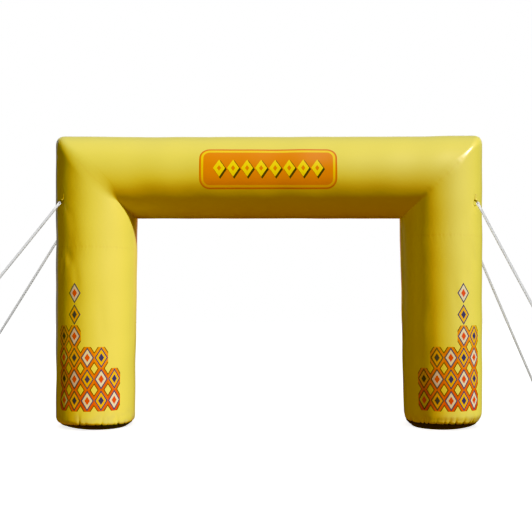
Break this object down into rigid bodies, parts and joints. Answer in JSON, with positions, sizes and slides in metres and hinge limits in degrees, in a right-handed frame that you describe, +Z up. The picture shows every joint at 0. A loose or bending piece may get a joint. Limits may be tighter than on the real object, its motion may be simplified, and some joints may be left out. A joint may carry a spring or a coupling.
{
  "type": "inflatable arch",
  "caption": "Square-cornered inflatable event arch: two cloth tube legs and a crossbeam, black foot caps, and guy ropes tied to sewn D-ring tabs.",
  "frame": {"origin": "on the ground, midway between the two legs and midway from front to back", "axes": "+X from the left leg to the right leg as seen from the front, +Y towards the back, +Z up"},
  "size_m": [8.6321, 2.4886, 4.0901],
  "materials": {
    "cloth_yellow": "gloss coated",
    "cloth_black": "satin coated",
    "webbing": "woven",
    "ring_steel": "satin",
    "rope": "twisted"
  },
  "bodies": {
    "root": {"base_left": "cloth_black", "base_right": "cloth_black", "beam": "cloth_yellow", "end_back_left": "rope", "end_back_right": "rope", "end_front_left": "rope", "end_front_right": "rope", "eye_back_left": "rope", "eye_back_right": "rope", "eye_front_left": "rope", "eye_front_right": "rope", "leg_left_lower": "cloth_yellow", "leg_left_upper": "cloth_yellow", "leg_right_lower": "cloth_yellow", "leg_right_upper": "cloth_yellow", "ring_back_left": "ring_steel", "ring_back_right": "ring_steel", "ring_front_left": "ring_steel", "ring_front_right": "ring_steel", "rope_back_left": "rope", "rope_back_right": "rope", "rope_front_left": "rope", "rope_front_right": "rope", "tab_back_left": "webbing", "tab_back_right": "webbing", "tab_front_left": "webbing", "tab_front_right": "webbing"}
  },
  "joints": []
}
